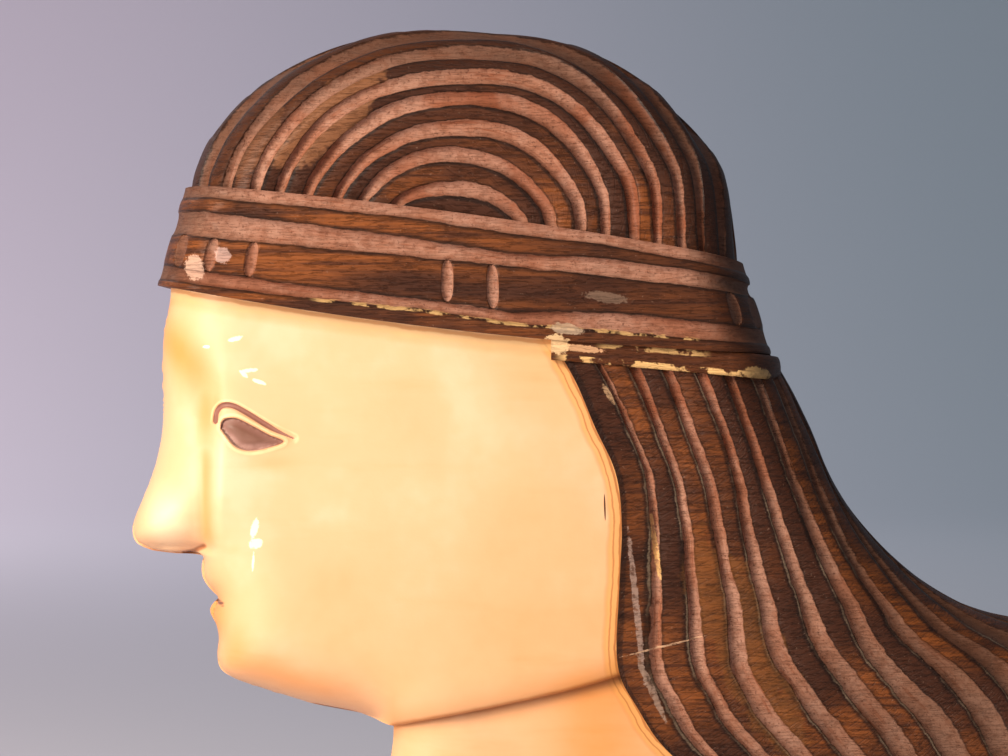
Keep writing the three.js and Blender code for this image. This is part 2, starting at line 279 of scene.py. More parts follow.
@dataclass
class Sheet:
    """A carved front as a grid of places, heights and pattern coordinates."""

    points: Array
    height: Array
    pattern: Array
    back: Array

    def block(self, name: str, material: bpy.types.Material, back_y: float = 5.0) -> bpy.types.Object:
        """Close the front with straight sides and a flat back.

        Args:
            name: the object's name.
            material: finish of the whole block.
            back_y: how far the flat back lies behind the wall plane.

        Returns:
            A closed block of wood.
        """
        rows, columns = self.height.shape
        bm = bmesh.new()
        uv = bm.loops.layers.uv.new("carving")
        place = bm.verts.layers.int.new("place")
        bmesh.ops.create_grid(bm, x_segments=columns - 1, y_segments=rows - 1, size=1.0)
        bm.verts.ensure_lookup_table()
        for vert in bm.verts:
            column = round((vert.co.x + 1) / 2 * (columns - 1))
            row = round((vert.co.y + 1) / 2 * (rows - 1))
            vert[place] = row * columns + column
        flat, pattern, back = (grid.reshape(-1, 2) for grid in (self.points, self.pattern, self.back))
        heights = self.height.reshape(-1)
        for vert in bm.verts:
            k = vert[place]
            vert.co = Vector((flat[k, 0], -heights[k], flat[k, 1])) * MM
        rim = [edge for edge in bm.edges if edge.is_boundary]
        made = bmesh.ops.extrude_edge_only(bm, edges=rim)["geom"]
        foot = [item for item in made if isinstance(item, bmesh.types.BMVert)]
        for vert in foot:
            k = vert[place]
            vert.co = Vector((back[k, 0], back_y, back[k, 1])) * MM
        foot_edges = [item for item in made if isinstance(item, bmesh.types.BMEdge) and item.is_boundary]
        cap = bmesh.ops.contextual_create(bm, geom=foot_edges)["faces"]
        bmesh.ops.triangulate(bm, faces=cap, ngon_method="EAR_CLIP")
        bmesh.ops.recalc_face_normals(bm, faces=bm.faces)
        for face in bm.faces:
            for loop in face.loops:
                loop[uv].uv = pattern[loop.vert[place]]
        return make_object(bm, name, material)


@dataclass(frozen=True)
class Waver:
    """A slow irregular change along a lock, as the hand wavers.

    Attributes:
        size: how much it changes, up or down.
        length: millimetres of one slow swing.
        shift: how far the next lock's swing is shifted.
        seed: picks another wave.
    """

    size: float
    length: float
    shift: float
    seed: float

    def at(self, along: Array, lock: Array, seed: float) -> Array:
        """Give the change at places along the locks of one head of hair."""
        return self.size * ripple(along / self.length + lock * self.shift, seed + self.seed)


@dataclass
class Locks:
    """The grooved hair: half rings on the crown, and long locks behind the face."""

    relief: Relief
    groove_depth: float = 1.9
    groove_share: float = 0.25
    ring_count: int = 13
    ring_half_line: float = 4.6 * SHARE
    rings_to_edge: tuple[float, float, float] = (8.7, 7.4, 10.2)
    crown_steps: int = 150
    lock_count: int = 14
    locks_to_edge: tuple[float, float] = (8.2, 12.4)
    lock_steps: int = 150
    crest: float = 0.35
    sway: Waver = Waver(0.1, 140, 0.37, 0)
    tremble: Waver = Waver(0.018, 17, 1.9, 3)
    widening: Waver = Waver(0.13, 75, 0.53, 4)
    deepening: Waver = Waver(0.22, 60, 0.71, 2)
    chatter: Waver = Waver(0.07, 5.5, 3.3, 5)
    drift: Waver = Waver(0.35, 90, 0.23, 1)

    def lines(self, count: int) -> Array:
        """Place the grid's lines: close together at the edges of every groove."""
        edge = self.groove_share
        marks = np.array([-edge - 0.13, -edge - 0.02, -edge + 0.02, -edge * 0.65, -edge * 0.25,
                          edge * 0.25, edge * 0.65, edge - 0.02, edge + 0.02, edge + 0.13])
        inner = [np.array([0.0, 0.3])] + [k + marks for k in range(1, count)]
        return np.concatenate(inner + [np.array([count - 0.3, float(count)])])

    def widen(self, line: Array, factor: Array) -> Array:
        """Widen every groove on the lock lines by a factor, without moving the locks."""
        lock = np.round(line)
        offset = line - lock
        size = np.abs(offset)
        edge = self.groove_share
        beyond = edge * factor + (size - edge) * (0.5 - edge * factor) / (0.5 - edge)
        return lock + np.sign(offset) * np.where(size < edge, size * factor, beyond)

    def over_edge(self, inner: Array, outer: Array, line: Array, to_edge: Array,
                  count: int, even: Array | None = None) -> tuple[Array, ...]:
        """Follow locks from inner places out to the outline, round the edge and down the side.

        Args:
            inner: places where the locks are counted from.
            outer: places on the outline.
            line: the lock line, counted outwards.
            to_edge: how many lines reach the edge.
            count: how many lines reach the back.
            even: how far evenly spaced locks bulge outwards, or None for locks spaced over the rounding.

        Returns:
            The places, the places behind them, the outward directions, the tilt of the surface and the
            share of the way down the side.
        """
        reach = outer - inner
        width = np.linalg.norm(reach, axis=-1)
        rounding = np.minimum(self.relief.edge_rounding, width)
        flat = width - rounding
        part = np.clip(line / to_edge, 0, 1)
        travel = part * (flat + rounding * math.pi / 2)
        tilt = np.maximum(travel - flat, 0) / rounding
        distance = np.minimum(travel, flat) + rounding * np.sin(tilt)
        if even is not None:
            distance = width * np.clip(part + even * np.sin(math.pi * part) ** 0.7, 0, 1)
            tilt = np.arcsin(np.clip((distance - flat) / rounding, 0, 1))
        down = np.clip((line - to_edge) / np.maximum(count - to_edge, 0.5), 0, 1)
        points = inner + reach * (distance / width)[..., None]
        back = inner + reach * (line / count)[..., None]
        return points, back, reach / width[..., None], tilt, down

    def carve(self, inner: Array, outer: Array, line: Array, along: Array, to_edge: Array,
              count: int, seed: float, width: Array, even: Array | None = None) -> Sheet:
        """Cut the grooves of one head of hair.

        Args:
            inner: places where the locks are counted from.
            outer: places on the outline.
            line: the lock line of each grid point.
            along: millimetres along the lock.
            to_edge: how many lines reach the edge.
            count: how many lines reach the back.
            seed: picks the hand's irregularity.
            width: how wide the grooves are, 1 for their usual share.
            even: how far evenly spaced locks bulge outwards, if they are.

        Returns:
            The carved front.
        """
        lock = np.round(line)
        free = np.clip(np.minimum(line, count - line), 0, 1)
        sway = self.sway.at(along, lock, seed) + self.tremble.at(along, lock, seed)
        wide = self.widen(line, width * (1 + self.widening.at(along, lock, seed))) + sway * free
        points, back, outward, tilt, down = self.over_edge(inner, outer, wide, to_edge, count, even)
        off = np.abs(line - lock)
        hollow = arch(off, self.groove_share)
        depth = self.groove_depth * (1 + self.deepening.at(along, lock, seed))
        cut = hollow ** 0.8 * depth * (line > 0.4)
        crest = (1 - ease(off, self.groove_share, 0.5)) * self.crest * (off > self.groove_share)
        chatter = self.chatter.at(along, lock, seed) * hollow
        move = chatter + self.drift.at(along, line, seed) * free - cut - crest
        side = down * (self.relief.edge_thickness - self.relief.edge_foot)
        height = self.relief.height(self.relief.hair_thickness, points) - side + move * np.cos(tilt)
        points = points + outward * (move * np.sin(tilt))[..., None]
        pattern = np.stack([np.broadcast_to(line, along.shape), along / 100], axis=-1)
        return Sheet(points, height, pattern, back)

    def crown(self) -> Sheet:
        """Carve the crown's half rings."""
        lines = self.lines(self.ring_count)
        turn = np.linspace(0, 1, self.crown_steps + 1)
        line, turns = np.meshgrid(lines, turn, indexing="ij")
        slope = BAND_RIGHT[0] - BAND_LEFT[0]
        slope = slope / np.linalg.norm(slope)
        centre = spots((-6.1, 18.4))[0]
        inner = centre - np.cos(math.pi * turns)[..., None] * slope * self.ring_half_line
        outer = self.relief.crown.at(turns)
        left, top, right = self.rings_to_edge
        side = np.where(turns < 0.5, left, right)
        to_edge = side + (top - side) * np.sin(math.pi * turns) ** 2
        size = np.linalg.norm(outer - inner, axis=-1) * np.minimum(line / to_edge, 1) + self.ring_half_line
        along = turns * math.pi * size
        # Grooves are widest over the top, and narrow at the band
        width = 0.68 + 0.66 * np.sin(math.pi * turns) * np.clip((line + 2) / 8, 0, 1)
        return self.carve(inner, outer, line, along, to_edge, self.ring_count, 0.3, width,
                          0.07 * ease(turns, 0.1, 0.5))

    def fall(self) -> Sheet:
        """Carve the long locks behind the face."""
        lines = self.lines(self.lock_count)
        share = np.linspace(1, 0, self.lock_steps + 1)
        shares, line = np.meshgrid(share, lines, indexing="ij")
        inner = self.relief.hairline.at(shares)
        outer = self.relief.hair.at(shares)
        band, base = self.locks_to_edge
        to_edge = band + (base - band) * shares
        along = shares * self.relief.hair.length
        # The inner locks shift towards the face at the band, and away from it below
        shift = -0.25 + 0.65 * ease(shares, 0.1, 0.45) - 0.2 * ease(shares, 0.5, 0.8)
        to_edge = to_edge / (1 + shift * ease(line, 0, 1) * (1 - ease(line, 6, 9)) / np.maximum(line, 1))
        # Lower down all locks crowd towards the face
        lean = 0.2 * ease(shares, 0.1, 0.4) + 0.2 * ease(shares, 0.3, 0.75) - 0.12
        to_edge = to_edge * np.clip(line / to_edge, 0.03, 1) ** -lean
        # Grooves widen downwards, and stay narrow beside the face
        width = (0.66 + 0.2 * ease(shares, 0.0, 0.7)) * (0.6 + 0.4 * ease(line, 1.2, 2.6))
        width = width * (1 + 0.4 * ease(line, 4, 7) * ease(shares, 0.4, 0.8))
        return self.carve(inner, outer, line, along, to_edge, self.lock_count, 4.1, width)


class BandLine(Enum):
    """Cuts and beads across the head-band, as middle and half width from its top edge to its foot."""

    TOP_GROOVE = (0.05, 0.055)
    UPPER_BEAD = (0.19, 0.085)
    MIDDLE_GROOVE = (0.335, 0.06)
    PLAIN_BAND = (0.59, 0.195)
    FOOT_GROOVE = (0.83, 0.045)
    FOOT_BEAD = (0.94, 0.065)


@dataclass
class HeadBand:
    """The band round the head, with its grooves, beads and tick cuts."""

    relief: Relief
    groove_depth: float = 1.6
    bead_height: float = 0.7
    side_relief: float = 0.5
    rounding: float = 14.5
    tick_width: float = 3.0
    tick_length: float = 9.8
    tick_depth: float = 0.9
    tick_row: float = 0.585
    ticks: tuple[float, ...] = (0.037, 0.09, 0.155, 0.474, 0.548, 0.946, 0.985)
    length: float = 150.0
    width: float = 26.0
    even_lines: tuple[float, ...] = (0.0, 0.105, 0.275, 0.395, 0.785, 0.875, 1.0)
    line_marks: tuple[float, ...] = (0.0, 0.08, 0.43, 0.58, 0.74, 0.92, 1.0)
    line_places: tuple[tuple[float, ...], ...] = (
        (0.0, 0.11, 0.25, 0.48, 0.80, 0.93, 1.0), (0.0, 0.112, 0.255, 0.48, 0.806, 0.929, 1.0),
        (0.0, 0.097, 0.274, 0.416, 0.779, 0.855, 1.0), (0.0, 0.119, 0.298, 0.399, 0.80, 0.885, 1.0),
        (0.0, 0.095, 0.225, 0.38, 0.71, 0.874, 1.0), (0.0, 0.122, 0.215, 0.373, 0.725, 0.895, 1.0),
        (0.0, 0.12, 0.23, 0.38, 0.75, 0.895, 1.0))
    steps: int = 210
    row_steps: int = 44

    def profile(self, across: Array) -> Array:
        """Give the height of beads and depth of grooves across the band."""
        total = np.zeros_like(across)
        for line in BandLine:
            middle, half = line.value
            bump = arch(across - middle, half)
            groove = line.name.endswith("GROOVE")
            total += -self.groove_depth * bump if groove else self.bead_height * bump
        return total

    def place(self, across: Array, along: Array, move: Array) -> Array:
        """Find places on the band.

        Args:
            across: share of the way from the top edge to the foot.
            along: share of the way from the brow to the nape.
            move: the relief, which also shows in the outline.

        Returns:
            The places.
        """
        left, right = (top + (foot - top) * across[..., None] for top, foot in (BAND_LEFT, BAND_RIGHT))
        left[..., 0] -= move * self.side_relief * 0.5
        right[..., 0] += move * self.side_relief
        points = left + (right - left) * along[..., None]
        points[..., 1] += (1.0 - 2.5 * across) * SHARE * 4 * along * (1 - along)
        return points

    def uneven(self, across: Array, along: Array) -> Array:
        """Shift the cuts across the band as the hand placed them.

        Args:
            across: share of the way across the band with evenly placed cuts.
            along: share of the way from the brow to the nape.

        Returns:
            The true share of the way across.
        """
        places = zip(*self.line_places)
        lines = np.stack([np.interp(along, self.line_marks, place) for place in places], axis=-1)
        even = np.array(self.even_lines)
        k = np.clip(np.searchsorted(even, across, side="right") - 1, 0, len(even) - 2)
        low = np.take_along_axis(lines, k[..., None], axis=-1)[..., 0]
        high = np.take_along_axis(lines, k[..., None] + 1, axis=-1)[..., 0]
        return low + (high - low) * (across - even[k]) / (even[k + 1] - even[k])

    def carve(self) -> Sheet:
        """Carve the band."""
        # Rows crowd at every cut's edge, and columns at both ends and beside every tick
        marks = [np.linspace(0, 1, self.row_steps)]
        for line in BandLine:
            middle, half = line.value
            marks.append(np.array([middle - half + 0.004, middle + half - 0.004]))
        rows = np.unique(np.clip(np.concatenate(marks), 0, 1).round(3))[::-1]
        even = (1 - np.cos(math.pi * np.linspace(0, 1, self.steps))) / 2
        near = [tick + np.linspace(-0.013, 0.013, 11) for tick in self.ticks]
        columns = np.unique(np.clip(np.concatenate([even, *near]), 0, 1).round(4))
        across, along = np.meshgrid(rows, columns, indexing="ij")
        wander = self.uneven(across, along)
        wander = wander + 0.007 * ripple(along * 6 + across * 0.8, 0.9) * arch(across - 0.5, 0.5)
        move = self.profile(across)
        plain = self.place(wander, along, np.zeros_like(move))
        # The relief shows in the outline too, except at the top and foot grooves
        inner = ease(across, 0.1, 0.16) * (1 - ease(across, 0.72, 0.78)) + ease(across, 0.875, 0.9)
        points = self.place(wander, along, move * inner)
        for tick in self.ticks:
            sideways = (along - tick) * self.length
            upright = (across - self.tick_row) * self.width
            half = self.tick_width / 2 * arch(upright, self.tick_length / 2) ** 0.7
            move = move - self.tick_depth * arch(sideways, np.maximum(half, 0.05)) * (half > 0.2)
        drift = 0.22 * ripple(along * 2.1 + across * 0.5, 7.7) * arch(along - 0.5, 0.5) - 0.2
        ends = [self.place(np.linspace(-0.3, 1.3, 9), np.full(9, end), np.zeros(9)) for end in (0.0, 1.0)]
        inward = np.minimum(*(distance_to(plain, end) for end in ends))
        reach = self.relief.round_off(self.relief.band_thickness, inward, self.rounding)
        height = reach + move * (0.35 + 0.65 * ease(reach, 26, 40)) + drift
        pattern = np.stack([across, along * self.length / 100], axis=-1)
        return Sheet(points, height, pattern, points)


@dataclass
class LowerBead:
    """The narrow bead that closes the band over the locks at the nape."""

    relief: Relief
    radius: float = 2.6
    upper_radius: float = 3.51
    bead_height: float = 0.9
    rounding: float = 15.0
    steps: int = 110
    row_steps: int = 12

    def carve(self) -> Sheet:
        """Carve the bead."""
        rows = np.sin(np.linspace(-0.5, 0.5, self.row_steps + 1) * math.pi)
        columns = (1 - np.cos(math.pi * np.linspace(0, 1, self.steps + 1))) / 2
        across, along = np.meshgrid(rows, columns, indexing="ij")
        fall = (1 - arch(across, 1.0)) * self.bead_height
        left, right = spots((5.6, 3.4), (33.9, 0.9))
        ends = np.stack([right[0] - fall, np.full_like(fall, right[1])], axis=-1)
        points = left + (ends - left) * along[..., None]
        points[..., 1] += across * np.where(across > 0, self.upper_radius, self.radius)
        inward = (1 - along) * np.linalg.norm(right - left)
        height = self.relief.round_off(self.relief.lower_bead_thickness, inward, self.rounding) - fall
        height = height + 0.15 * ripple(along * 5 + across * 0.3, 2.2) * (1 - fall)
        pattern = np.stack([2.0 - across * 0.1, along * 0.6], axis=-1)
        return Sheet(points, height, pattern, points)


@dataclass
class Features:
    """Places of the eye, the lid crease, the mouth and the nose's underside on the face."""

    lid: Curve = field(init=False)
    eye: Array = field(init=False)
    mouth: Array = field(init=False)
    under_nose: Array = field(init=False)

    def __post_init__(self) -> None:
        """Lay out the lines."""
        self.lid = Curve(np.array((
            (-72.4, -10.9), (-72.0, -8.4), (-70.4, -6.9), (-67.7, -7.0), (-64.2, -8.8), (-60.0, -11.4),
            (-56.4, -13.4), (-52.6, -15.1))), 80)
        self.eye = Curve(np.array((
            (-70.7, -11.3), (-69.9, -10.3), (-66.9, -10.1), (-62.5, -12.2), (-58.6, -14.3), (-55.1, -15.9),
            (-58.9, -17.4), (-63.3, -18.2), (-66.9, -17.3), (-69.4, -14.6), (-70.9, -12.6),
            (-70.7, -11.3))), 120).points
        self.mouth = np.array([(-75.0, -57.0), (-72.4, -57.0), (-71.4, -57.4)])
        self.under_nose = np.array([(-82.5, -45.2), (-79.5, -44.3), (-76.2, -42.7)])

    def in_eye(self, points: Array) -> Array:
        """Measure how deep inside the eye's almond places lie, below zero outside it."""
        gap = distance_to(points, self.eye)
        x, z = points[..., 0], points[..., 1]
        inside = np.zeros(x.shape, dtype=bool)
        for (x0, z0), (x1, z1) in zip(self.eye[:-1], self.eye[1:]):
            crosses = (z0 > z) != (z1 > z)
            with np.errstate(divide="ignore", invalid="ignore"):
                inside ^= crosses & (x < (x1 - x0) * (z - z0) / (z1 - z0) + x0)
        return np.where(inside, gap, -gap)


@dataclass
class Face:
    """The painted face: profile, nose crease, eye, mouth and jaw."""

    relief: Relief
    features: Features
    jaw_rounding: float = 9.0
    jaw_drop: float = 2.6
    nose_drop: float = 4.2
    crease_depth: float = 0.9
    socket_depth: float = 1.5
    brow_depth: float = 0.5
    eye_depth: float = 1.1
    lid_depth: float = 0.8
    mouth_depth: float = 1.1
    nostril_depth: float = 0.8
    fine_columns: int = 92
    coarse_columns: int = 46
    fine_share: float = 0.36
    row_count: int = 175

    def height(self, points: Array) -> Array:
        """Give the face's height at places on it."""
        relief, marks = self.relief, self.features
        inward = relief.soft_inward(points)
        height = relief.round_off(relief.face_thickness, inward, relief.painted_rounding,
                                  relief.painted_fullness)
        x, z = points[..., 0], points[..., 1]
        crease_x = -75.6 + 0.02 * (z + 30)
        above_lip = ease(z, -45.5, -42.8)
        nose = (1 - ease(x, crease_x - 3.0, crease_x + 5.5)) * (1 - ease(z, -14.0, 12.0)) * above_lip
        crease = hump(x, crease_x, 1.5) * ease(-z, 14, 24) * above_lip
        socket = hump(x, -76.0, 5.5) * hump(z, -8.5, 9.0)
        brow = hump(x + 0.5 * (z - 4), -78.0, 5.0) * hump(z, 4.0, 7.0)
        to_jaw = distance_to(points, relief.jaw.points[::8])
        jaw = 1 - arch(1 - np.clip(to_jaw / self.jaw_rounding, 0, 1), 1.0)
        height = height - self.nose_drop * nose - self.crease_depth * crease - self.jaw_drop * jaw
        height = height - self.socket_depth * socket - self.brow_depth * brow
        inside = marks.in_eye(points)
        ball = np.clip(inside, 0, 2.4) * 0.4
        height = height - ease(inside, -0.15, 0.35) * (self.eye_depth - ball) + 0.2 * hump(inside, -0.5, 0.4)
        lid = arch(distance_to(points, marks.lid.points), 0.75) * (1 - 0.6 * ease(x, -60, -53))
        mouth = hump(distance_to(points, marks.mouth), 0, 0.7) * ease(-x, 71, 73.5)
        nostril = hump(distance_to(points, marks.under_nose), 0, 0.8)
        height = height - self.lid_depth * lid - self.mouth_depth * mouth - self.nostril_depth * nostril
        return height + 0.25 * ripple(x / 95 + z / 120, 3.3) * ease(inward, 6, 24)

    def rows(self) -> tuple[Array, Array, Array]:
        """Lay rows from the profile to a line under the hair, each with its share of the way up."""
        edge = self.relief.profile[::-1]
        steps = np.linalg.norm(np.diff(edge, axis=0), axis=1)
        lengths = np.concatenate([[0], np.cumsum(steps)])
        share = lengths / lengths[-1]
        beside_eye = (edge[:, 1] > -20) & (edge[:, 1] < -5)
        weight = np.where(beside_eye, 3.0, 1.0)
        grown = np.concatenate([[0], np.cumsum(steps * weight[1:])])
        share = np.interp(np.linspace(0, grown[-1], self.row_count), grown, share)
        edge = np.stack([np.interp(share * lengths[-1], lengths, edge[:, i]) for i in (0, 1)], axis=-1)
        low = self.relief.jaw.at(np.array(1.0))
        high = HeadBand(self.relief).place(np.array([0.58]), np.array([0.75]), np.zeros(1))[0]
        high[0] = low[0]
        far = low + (high - low) * (1 - (1 - share) ** 0.9)[:, None]
        return edge, far, share

    def carve(self) -> Sheet:
        """Carve the face."""
        edge, far, up = self.rows()
        near = np.linspace(0, self.fine_share, self.fine_columns + 1)
        along = np.concatenate([near, np.linspace(self.fine_share, 1, self.coarse_columns + 1)[1:]])
        low = edge[0]
        bow = self.relief.jaw.at(along) - (low + (far[0] - low) * along[:, None])
        points = edge[:, None, :] + (far - edge)[:, None, :] * along[None, :, None]
        points = points + bow[None, :, :] * ((1 - up) ** 4)[:, None, None]
        return Sheet(points, self.height(points), points / 100, points)


@dataclass
class Neck:
    """The painted neck below the jaw."""

    relief: Relief
    columns: int = 50
    row_steps: int = 30

    def carve(self) -> Sheet:
        """Carve the neck."""
        down = np.linspace(1, 0, self.row_steps + 1)
        share = np.linspace(0, 1, self.columns + 1) ** 1.5
        left = self.relief.neck.at(down)
        right = Curve(spots((18, -34), (60, -62))).at(down)
        points = left[:, None, :] + (right - left)[:, None, :] * share[None, :, None]
        relief = self.relief
        height = relief.round_off(relief.neck_thickness, relief.soft_inward(points), relief.painted_rounding,
                                  relief.painted_fullness)
        height = height + 0.3 * ripple(points[..., 0] / 60 + points[..., 1] / 50, 9.1) * ease(share, 0.1, 0.4)
        return Sheet(points, height, points / 100, points)


def linear(code: str) -> tuple[float, float, float, float]:
    """Turn an sRGB hex colour into Blender's linear colour."""
    values = [int(code[i:i + 2], 16) / 255 for i in (1, 3, 5)]
    parts = [v / 12.92 if v <= 0.04045 else ((v + 0.055) / 1.055) ** 2.4 for v in values]
    return (*parts, 1.0)


@dataclass(frozen=True)
class Signal:
    """A number, place or colour in a material's node tree, with arithmetic that adds nodes."""

    graph: "Graph"
    socket: bpy.types.NodeSocket

    def math(self, operation: str, *others: "Value") -> "Signal":
        """Calculate with this number and any others."""
        return self.graph.math(operation, self, *others)

    def __add__(self, other: "Value") -> "Signal":
        """Add a number."""
        return self.math("ADD", other)

    def __sub__(self, other: "Value") -> "Signal":
        """Take a number away."""
        return self.math("SUBTRACT", other)

    def __rsub__(self, other: float) -> "Signal":
        """Take this away from a plain number."""
        return self.graph.math("SUBTRACT", other, self)

    def __mul__(self, other: "Value") -> "Signal":
        """Multiply by a number."""
        return self.math("MULTIPLY", other)

    def __abs__(self) -> "Signal":
        """Drop the sign."""
        return self.math("ABSOLUTE")

    def most(self, *others: "Signal") -> "Signal":
        """Take the largest of this and others."""
        return reduce(lambda a, b: a.math("MAXIMUM", b), others, self)

    def plus(self, other: "Signal") -> "Signal":
        """Add a number and keep the sum between 0 and 1."""
        settings = {"operation": "ADD", "use_clamp": True}
        return self.graph.add("ShaderNodeMath", settings, {0: self, 1: other})

    def step(self, low: float, high: float, start: float = 0.0, end: float = 1.0) -> "Signal":
        """Step smoothly from start to end while this number goes from low to high."""
        settings = {"interpolation_type": "SMOOTHSTEP"}
        inputs = {"Value": self, "From Min": low, "From Max": high, "To Min": start, "To Max": end}
        return self.graph.add("ShaderNodeMapRange", settings, inputs)

    def lay(self, *layers: tuple["Value", "Signal | str"]) -> "Signal":
        """Lay other colours over this one, each with its amount before it."""
        return reduce(lambda colour, layer: self.graph.blend(layer[0], colour, layer[1]), layers, self)


Value = Signal | float
Spot = tuple[float, float, float, float, float]
Flakes = list[tuple[Signal, str]]


class Graph:
    """A material's node tree, with the object's place in millimetres and short ways to add nodes."""

    def __init__(self, name: str, surface: dict[str, float] | None = None) -> None:
        """Start a material.

        Args:
            name: the real material and finish.
            surface: plain values for the shader's own inputs.
        """
        self.material = bpy.data.materials.new(name)
        self.material.use_nodes = True
        self.tree = self.material.node_tree
        self.tree.nodes.clear()
        self.shader = self.node("ShaderNodeBsdfPrincipled", {}, surface or {})
        output = self.node("ShaderNodeOutputMaterial", {}, {})
        self.tree.links.new(self.shader.outputs[0], output.inputs["Surface"])
        self.where = self.add("ShaderNodeTexCoord", {}, {}, "Object")
        across, _, up = self.split(self.where)
        self.x, self.z = across * 1000.0, up * 1000.0

    def plug(self, socket: bpy.types.NodeSocket, value: "Value | str | tuple") -> None:
        """Link a signal to an input, or set the input's plain value."""
        if isinstance(value, Signal):
            self.tree.links.new(value.socket, socket)
        else:
            socket.default_value = linear(value) if isinstance(value, str) else value

    def node(self, kind: str, settings: dict, inputs: dict) -> bpy.types.Node:
        """Add a node.

        Args:
            kind: the node's type.
            settings: the node's own properties.
            inputs: a signal, number, place or hex colour for each input, by its name or number.

        Returns:
            The node.
        """
        node = self.tree.nodes.new(kind)
        for key, value in settings.items():
            setattr(node, key, value)
        for key, value in inputs.items():
            self.plug(node.inputs[key], value)
        return node

    def add(self, kind: str, settings: dict, inputs: dict, out: int | str = 0) -> Signal:
        """Add a node and give one of its outputs."""
        return Signal(self, self.node(kind, settings, inputs).outputs[out])

    def math(self, operation: str, *values: Value) -> Signal:
        """Calculate with one, two or three values."""
        return self.add("ShaderNodeMath", {"operation": operation}, dict(enumerate(values)))

    def blend(self, amount: Value, a: Signal | str, b: Signal | str) -> Signal:
        """Mix an amount of the second colour into the first."""
        return self.add("ShaderNodeMix", {"data_type": "RGBA"}, {0: amount, 6: a, 7: b}, 2)

    def split(self, place: Signal) -> list[Signal]:
        """Take a place apart into its three numbers."""
        outputs = self.node("ShaderNodeSeparateXYZ", {}, {0: place}).outputs
        return [Signal(self, output) for output in outputs]

    def join(self, first: Signal, second: Signal) -> Signal:
        """Make a place out of two numbers."""
        return self.add("ShaderNodeCombineXYZ", {}, {0: first, 1: second})

    def attribute(self, name: str) -> Signal:
        """Read a distance stored on the mesh."""
        return self.add("ShaderNodeAttribute", {"attribute_name": name}, {}, "Fac")

    def noise(self, scale: float | tuple[float, float, float], detail: float = 3.0, rough: float = 0.5,
              where: Signal | None = None) -> Signal:
        """Add an irregular pattern, about 0.5 on average.

        Args:
            scale: how many waves a metre, for all directions or for each.
            detail: how many finer patterns are added.
            rough: how strong the finer patterns are.
            where: another place to read it at than the object's own.

        Returns:
            The pattern.
        """
        where = self.where if where is None else where
        if isinstance(scale, tuple):
            where = self.add("ShaderNodeVectorMath", {"operation": "MULTIPLY"}, {0: where, 1: scale})
            scale = 1.0
        inputs = {"Vector": where, "Scale": scale, "Detail": detail, "Roughness": rough}
        return self.add("ShaderNodeTexNoise", {}, inputs)

    def streaks(self, across: Signal, along: Signal, fine: float, runs: float) -> Signal:
        """Mark broken streaks that run along a cut.

        Args:
            across: coordinate across the cut.
            along: coordinate along the cut.
            fine: streaks for each unit across.
            runs: streaks for each unit along.

        Returns:
            Up to 0.8 in a streak and 0 between streaks.
        """
        return self.noise(1.0, 3.0, 0.6, self.join(across * fine, along * runs)).step(0.48, 0.66, 0.0, 0.8)

    def patch(self, spot: Spot, ragged: Signal | None = None) -> Signal:
        """Mark an oval patch on the front.

        Args:
            spot: middle across and up, half length, half width and lean in degrees.
            ragged: irregular pattern for its edge, if the edge isn't clean.

        Returns:
            1 inside the patch and 0 outside.
        """
        middle_x, middle_z, long, wide, lean = spot
        c, s = math.cos(math.radians(lean)), math.sin(math.radians(lean))
        dx, dz = self.x - middle_x, self.z - middle_z
        u, v = dx * (c / long) + dz * (s / long), dz * (c / wide) - dx * (s / wide)
        square = u * u + v * v
        if ragged is not None:
            square = square + (ragged - 0.5) * 3.2
        return square.step(1.15, 0.75)

    def finish(self, colour: Signal, rough: Value, bump: Signal | None = None,
               depth: float = 0.3) -> bpy.types.Material:
        """Connect the surface.

        Args:
            colour: base colour.
            rough: roughness.
            bump: height pattern, if any.
            depth: the bump's full depth in millimetres.

        Returns:
            The material.
        """
        self.plug(self.shader.inputs["Base Color"], colour)
        self.plug(self.shader.inputs["Roughness"], rough)
        if bump is not None:
            inputs = {"Height": bump, "Distance": depth * MM, "Strength": 1.0}
            self.plug(self.shader.inputs["Normal"], self.add("ShaderNodeBump", {}, inputs))
        return self.material


@dataclass(frozen=True)
class Cuts:
    """Where the gouge cut stained wood, what it left there, and the light and shade painted beside the cuts,
    each 0 to 1 over the surface.

    Attributes:
        light: the pale cuts.
        shade: painted shade on the ridge beside a cut, heavier on one side in the locks.
        wear: ridges worn to warm brown.
        warm: cuts that keep some brown stain.
        hatch: short strokes of the grain across the ridges.
        rim: a painted highlight, a thin pale line along one edge of a cut, where it shows.
    """

    light: Signal
    shade: Signal
    wear: Signal
    warm: Signal
    hatch: Signal
    rim: Signal | None = None


